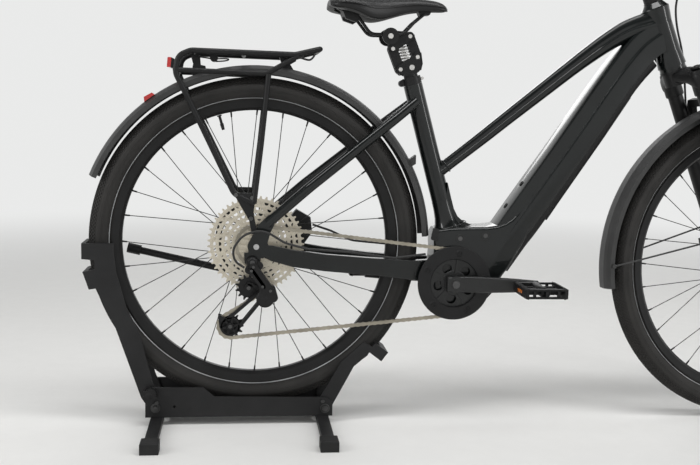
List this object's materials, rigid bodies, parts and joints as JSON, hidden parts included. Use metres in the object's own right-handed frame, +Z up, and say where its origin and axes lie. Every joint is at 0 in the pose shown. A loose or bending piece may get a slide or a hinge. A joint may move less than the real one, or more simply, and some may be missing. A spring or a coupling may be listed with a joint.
{
  "type": "bicycle on stand",
  "caption": "Mid-motor trekking bicycle with rack, fenders and sprung seat post, its rear wheel held upright in a folding floor stand.",
  "frame": {"origin": "on the floor, midway along and across the object's box", "axes": "+X to the bicycle's front, +Y to its left side, +Z up"},
  "size_m": [1.9042, 0.6829, 1.0484],
  "materials": {
    "frame_paint": "gloss black paint with a dark green tint",
    "black_metal": "matte black powder coat on alloy",
    "stand_steel": "matte black powder coat",
    "black_plastic": "matte black plastic",
    "fender_plastic": "matte dark grey",
    "crank_alloy": "matte dark grey anodised",
    "bare_alloy": "brushed",
    "chain_steel": "silver with a warm tint",
    "spoke_steel": "black coated",
    "spring_steel": "bright",
    "tyre": "black rubber with a grey reflective stripe",
    "rubber": "matte",
    "saddle_cover": "black synthetic leather",
    "lamp_red": "translucent red",
    "cable": "black housing",
    "motor_metal": "matte black cast"
  },
  "bodies": {
    "stand": {"stand_base": "stand_steel", "stand_feet": "stand_steel", "stand_foot_caps": "rubber", "stand_front_arm": "stand_steel"},
    "stand_arm": {"stand_rear_arm": "stand_steel"},
    "knob": {"stand_knob": "black_plastic"},
    "frame": {"head_tube": "frame_paint", "top_tube": "frame_paint", "down_tube": "frame_paint", "seat_tube": "frame_paint", "rear_triangle": "frame_paint", "motor_housing": "motor_metal", "drive_unit": "motor_metal", "seat_collar": "black_metal", "rear_fender": "fender_plastic", "rear_lamp": "lamp_red", "rack": "black_metal", "rear_caliper": "black_metal", "frame_cables": "cable", "rear_axle": "bare_alloy", "chain_upper": "chain_steel", "chain_lower": "chain_steel", "derailleur_body": "black_metal"},
    "battery": {"battery": "black_plastic"},
    "crank": {"crank_left": "crank_alloy", "crank_right": "crank_alloy", "chainring": "crank_alloy", "chain_guard": "black_plastic"},
    "pedal_right": {"pedal_right": "black_plastic"},
    "pedal_left": {"pedal_left": "black_plastic"},
    "cassette": {"cassette": "chain_steel"},
    "rear_wheel": {"rear_tyre": "tyre", "rear_rim": "black_metal", "rear_spokes": "spoke_steel", "rear_hub": "black_metal"},
    "cage": {"derailleur_cage": "black_metal"},
    "jockey_upper": {"jockey_upper": "black_plastic"},
    "jockey_lower": {"jockey_lower": "black_plastic"},
    "kickstand": {"kickstand": "black_metal"},
    "seatpost": {"seatpost": "black_metal", "post_spring": "spring_steel"},
    "link_rear": {"post_link_rear": "black_metal"},
    "link_front": {"post_link_front": "black_metal"},
    "seat_head": {"saddle_clamp": "black_metal", "saddle_rails": "black_metal", "saddle": "saddle_cover"},
    "fork": {"fork_upper": "black_metal", "stem": "black_metal", "handlebar": "black_metal", "grips": "rubber", "brake_clamps": "black_metal"},
    "lever_right": {"brake_lever_right": "black_metal"},
    "lever_left": {"brake_lever_left": "black_metal"},
    "shift_lever": {"shift_lever": "black_plastic"},
    "lowers": {"fork_lowers": "black_metal", "front_fender": "fender_plastic"},
    "front_wheel": {"front_tyre": "tyre", "front_rim": "black_metal", "front_spokes": "spoke_steel", "front_hub": "black_metal"}
  },
  "joints": [
    {"name": "bike_lift", "type": "slide", "parent": "stand", "child": "frame", "axis": [0, 0, 1], "range_m": [0, 0.35]},
    {"name": "stand_arm_fold", "type": "hinge", "parent": "stand", "child": "stand_arm", "pos_m": [-0.796, 0, 0.038], "axis": [0, 1, 0], "range_deg": [-50, 0]},
    {"name": "knob_turn", "type": "hinge", "parent": "stand", "child": "knob", "pos_m": [-0.807, -0.056, 0.072], "axis": [0, 1, 0], "continuous": true},
    {"name": "battery_swing", "type": "hinge", "parent": "frame", "child": "battery", "pos_m": [0.0078, 0, 0.4853], "axis": [0, 1, 0], "range_deg": [0, 10]},
    {"name": "crank_spin", "type": "hinge", "parent": "frame", "child": "crank", "pos_m": [-0.143, 0, 0.32], "axis": [0, 1, 0], "continuous": true},
    {"name": "pedal_right_spin", "type": "hinge", "parent": "crank", "child": "pedal_right", "pos_m": [0.027, -0.14, 0.32], "axis": [0, 1, 0], "continuous": true},
    {"name": "pedal_left_spin", "type": "hinge", "parent": "crank", "child": "pedal_left", "pos_m": [-0.313, 0.14, 0.32], "axis": [0, 1, 0], "continuous": true},
    {"name": "cassette_spin", "type": "hinge", "parent": "frame", "child": "cassette", "pos_m": [-0.581, -0.05, 0.4007], "axis": [0, 1, 0], "continuous": true},
    {"name": "rear_wheel_spin", "type": "hinge", "parent": "frame", "child": "rear_wheel", "pos_m": [-0.581, 0, 0.4007], "axis": [0, 1, 0], "continuous": true},
    {"name": "cage_swing", "type": "hinge", "parent": "frame", "child": "cage", "pos_m": [-0.561, -0.07, 0.291], "axis": [0, 1, 0], "range_deg": [-20, 6], "stiffness_Nm_per_rad": 1.5, "deforming": ["chain_lower"]},
    {"name": "jockey_upper_spin", "type": "hinge", "parent": "cage", "child": "jockey_upper", "pos_m": [-0.596, -0.05, 0.308], "axis": [0, 1, 0], "continuous": true},
    {"name": "jockey_lower_spin", "type": "hinge", "parent": "cage", "child": "jockey_lower", "pos_m": [-0.635, -0.05, 0.223], "axis": [0, 1, 0], "continuous": true},
    {"name": "kickstand_fold", "type": "hinge", "parent": "frame", "child": "kickstand", "pos_m": [-0.571, 0.099, 0.306], "axis": [-0.2741, 0.9617, 0], "range_deg": [-98, 0]},
    {"name": "seatpost_slide", "type": "slide", "parent": "frame", "child": "seatpost", "axis": [-0.2723, 0, 0.9622], "range_m": [0, 0.1]},
    {"name": "post_link_rear", "type": "hinge", "parent": "seatpost", "child": "link_rear", "pos_m": [-0.27, 0, 0.786], "axis": [0, 1, 0], "range_deg": [-42, 0], "stiffness_Nm_per_rad": 40, "springref_deg": 17.19, "deforming": ["post_spring"]},
    {"name": "post_link_front", "type": "hinge", "parent": "seatpost", "child": "link_front", "pos_m": [-0.233, 0, 0.814], "axis": [0, 1, 0], "range_deg": [-42, 0]},
    {"name": "saddle_level", "type": "hinge", "parent": "link_rear", "child": "seat_head", "pos_m": [-0.288, 0, 0.83], "axis": [0, 1, 0], "range_deg": [0, 42]},
    {"name": "steering", "type": "hinge", "parent": "frame", "child": "fork", "pos_m": [0.355, 0, 0.812], "axis": [-0.3633, 0, 0.9317], "range_deg": [-45, 45]},
    {"name": "lever_right_pull", "type": "hinge", "parent": "fork", "child": "lever_right", "pos_m": [0.41888, -0.19978, 1.02777], "axis": [-0.0007, 0.0241, 0.9997], "range_deg": [-15, 0], "stiffness_Nm_per_rad": 1, "springref_deg": 8.59},
    {"name": "lever_left_pull", "type": "hinge", "parent": "fork", "child": "lever_left", "pos_m": [0.39313, 0.21626, 1.01773], "axis": [-0.0007, 0.0241, 0.9997], "range_deg": [0, 15], "stiffness_Nm_per_rad": 1, "springref_deg": -8.59},
    {"name": "shift_push", "type": "hinge", "parent": "fork", "child": "shift_lever", "pos_m": [0.38477, -0.16323, 1.00252], "axis": [-0.0007, 0.0241, 0.9997], "range_deg": [-20, 0], "stiffness_Nm_per_rad": 0.3, "springref_deg": 5.73},
    {"name": "fork_travel", "type": "slide", "parent": "fork", "child": "lowers", "axis": [-0.3633, 0, 0.9317], "range_m": [0, 0.055], "stiffness_N_per_m": 6000, "springref_m": -0.03},
    {"name": "front_wheel_spin", "type": "hinge", "parent": "lowers", "child": "front_wheel", "pos_m": [0.59188, 0.00378, 0.36095], "axis": [-0.0617, 0.9978, -0.0241], "continuous": true}
  ],
  "couplings": [
    {"joint": "cassette_spin", "follows": "crank_spin", "ratio": 1.7143},
    {"joint": "jockey_upper_spin", "follows": "crank_spin", "ratio": -2.7692},
    {"joint": "jockey_lower_spin", "follows": "crank_spin", "ratio": 2.7692},
    {"joint": "post_link_front", "follows": "post_link_rear", "ratio": 1},
    {"joint": "saddle_level", "follows": "post_link_rear", "ratio": -1}
  ]
}
